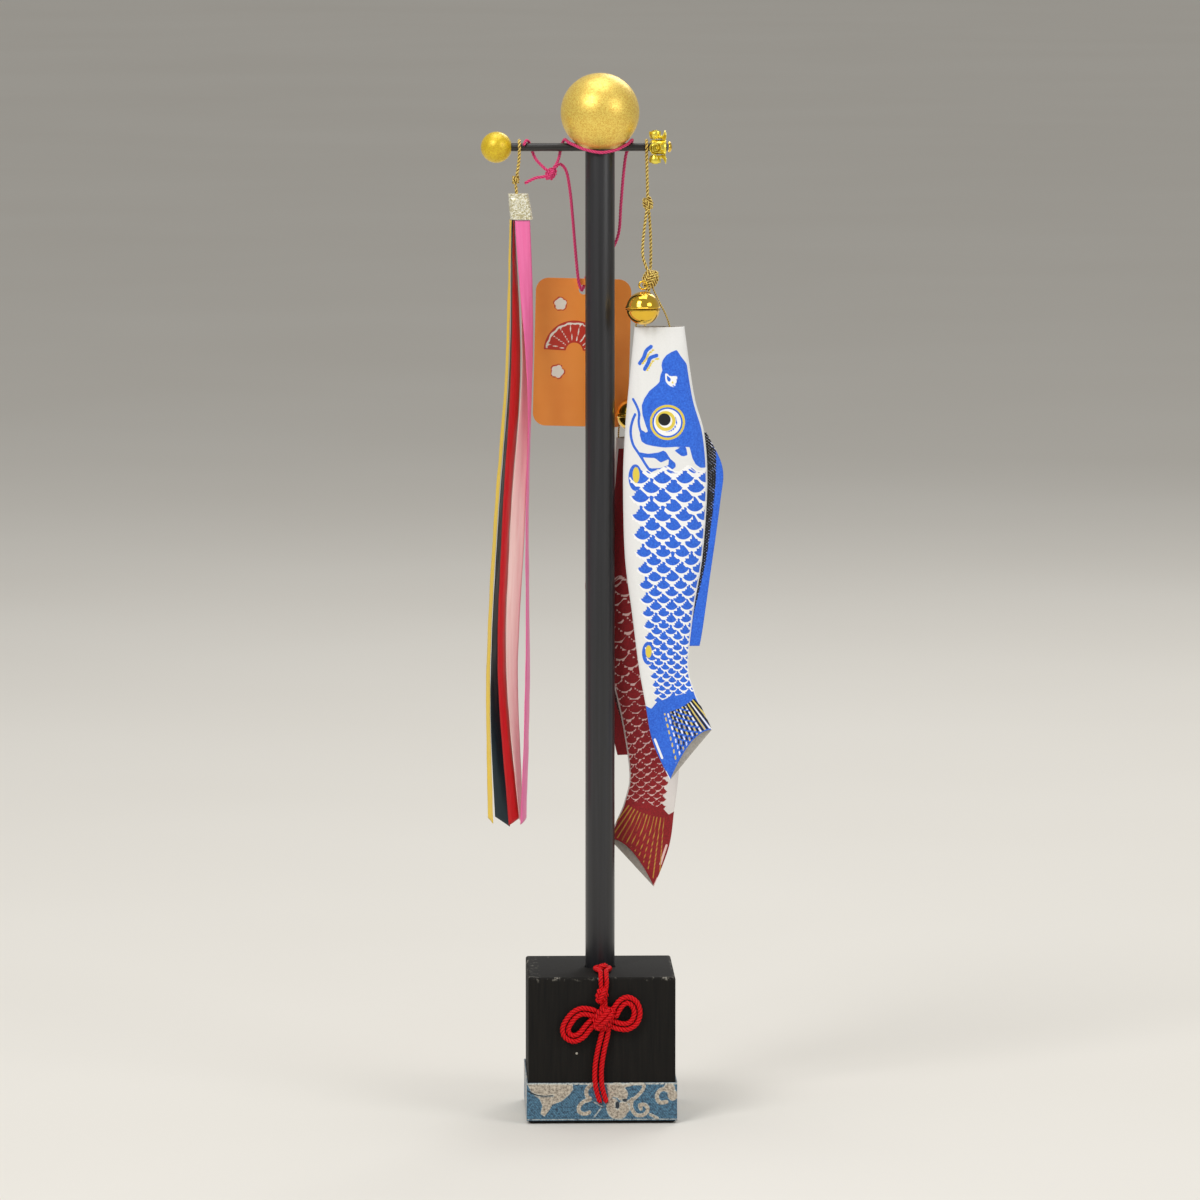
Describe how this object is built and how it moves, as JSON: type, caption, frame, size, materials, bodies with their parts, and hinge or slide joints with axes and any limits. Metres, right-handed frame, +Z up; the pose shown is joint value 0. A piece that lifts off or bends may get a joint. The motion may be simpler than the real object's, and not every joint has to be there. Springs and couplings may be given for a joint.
{
  "type": "carp streamer stand",
  "caption": "Miniature carp streamer stand: wooden block and pole with a gold ball, a crossbar with a flower wheel, cloth carps with bells, satin ribbons and a card tag.",
  "frame": {"origin": "centre of the block's underside", "axes": "+Z up along the pole, front with the bow at -Y, flower wheel end of the crossbar at +X"},
  "size_m": [0.0737, 0.0506, 0.32],
  "materials": {
    "stained_wood": "black-stained wood, rubbed edges",
    "painted_dowel": "satin charcoal paint on a round dowel",
    "gold_painted_ball": "satin sparkling gold paint",
    "yellow_gold_ball": "satin yellow-gold paint",
    "polished_gold": "polished gold plating",
    "brocade": "woven brocade with silver scrolls",
    "gold_cord": "twisted gold lame cord",
    "red_cord": "twisted red rayon cord",
    "pink_cord": "fine pink cord",
    "blue_cloth": "printed crepe cloth",
    "red_cloth": "printed crepe cloth",
    "silver_tape": "silver glitter tape",
    "yellow_satin": "satin ribbon",
    "dark_satin": "satin ribbon",
    "red_satin": "satin ribbon",
    "pale_satin": "satin ribbon",
    "pink_satin": "satin ribbon",
    "card": "printed card"
  },
  "bodies": {
    "root": {"bar_end_nail": "polished_gold", "base_block": "stained_wood", "bow_centre_knot": "red_cord", "bow_left_loop_inner": "red_cord", "bow_left_loop_outer": "red_cord", "bow_left_tail": "red_cord", "bow_neck_knot": "red_cord", "bow_right_loop_inner": "red_cord", "bow_right_loop_outer": "red_cord", "bow_right_tail": "red_cord", "bow_top_loop": "red_cord", "brocade_band": "brocade", "carp_hanging_loop": "gold_cord", "carp_upper_knot": "gold_cord", "crossbar": "painted_dowel", "crossbar_ball": "yellow_gold_ball", "finial_ball": "gold_painted_ball", "pole": "painted_dowel", "tag_cord_ball_turn": "pink_cord", "tag_cord_knot": "pink_cord", "tag_cord_left_hitch": "pink_cord", "tag_cord_tail": "pink_cord"},
    "flower_wheel": {"wheel_hub": "polished_gold", "wheel_leaves": "polished_gold", "wheel_rose_1": "polished_gold", "wheel_rose_2": "polished_gold", "wheel_rose_3": "polished_gold", "wheel_rose_4": "polished_gold"},
    "ribbon_hanger": {"ribbon_hanging_loop": "gold_cord", "ribbon_knot": "gold_cord"},
    "ribbons": {"ribbon_cap": "silver_tape", "ribbon_cap_cord": "gold_cord", "ribbon_dark": "dark_satin", "ribbon_pale": "pale_satin", "ribbon_pink": "pink_satin", "ribbon_red": "red_satin", "ribbon_yellow": "yellow_satin"},
    "blue_carp": {"blue_bell_bottom": "polished_gold", "blue_bell_eye": "polished_gold", "blue_bell_top": "polished_gold", "blue_carp_body": "blue_cloth", "blue_carp_cord": "gold_cord", "blue_carp_fin": "blue_cloth", "blue_carp_knot": "gold_cord", "blue_mouth_thread_left": "gold_cord", "blue_mouth_thread_right": "gold_cord"},
    "blue_pellet": {"blue_bell_pellet": "polished_gold"},
    "red_carp": {"red_bell_bottom": "polished_gold", "red_bell_eye": "polished_gold", "red_bell_top": "polished_gold", "red_carp_body": "red_cloth", "red_carp_cord": "gold_cord", "red_carp_fin": "red_cloth", "red_carp_knot": "gold_cord", "red_mouth_thread_left": "gold_cord", "red_mouth_thread_right": "gold_cord"},
    "red_pellet": {"red_bell_pellet": "polished_gold"},
    "tag_card": {"tag": "card", "tag_cord": "pink_cord"}
  },
  "joints": [
    {"name": "wheel_spin", "type": "hinge", "parent": "root", "child": "flower_wheel", "pos_m": [0.017, 0, 0.2974], "axis": [1, 0, 0], "continuous": true},
    {"name": "ribbons_swing", "type": "hinge", "parent": "root", "child": "ribbon_hanger", "pos_m": [-0.0246, 0, 0.2974], "axis": [1, 0, 0], "range_deg": [-30, 30]},
    {"name": "ribbons_twist", "type": "hinge", "parent": "ribbon_hanger", "child": "ribbons", "pos_m": [-0.0257, 0, 0.2834], "axis": [0, 0, 1], "range_deg": [-90, 90]},
    {"name": "blue_carp_swing", "type": "hinge", "parent": "root", "child": "blue_carp", "pos_m": [0.0146, 0, 0.2802], "axis": [1, 0, 0], "range_deg": [-35, 0]},
    {"name": "red_carp_swing", "type": "hinge", "parent": "root", "child": "red_carp", "pos_m": [0.0146, 0, 0.2802], "axis": [1, 0, 0], "range_deg": [0, 30]},
    {"name": "tag_swing", "type": "hinge", "parent": "root", "child": "tag_card", "pos_m": [-0.0052, 0, 0.2974], "axis": [1, 0, 0], "range_deg": [0, 25.5]},
    {"name": "blue_pellet_rattle", "type": "slide", "parent": "blue_carp", "child": "blue_pellet", "axis": [0, 0, 1], "range_m": [0, 0.002]},
    {"name": "red_pellet_rattle", "type": "slide", "parent": "red_carp", "child": "red_pellet", "axis": [0, 0, 1], "range_m": [0, 0.002]}
  ],
  "couplings": [
    {"joint": "tag_swing", "follows": "red_carp_swing", "ratio": 0.85}
  ]
}
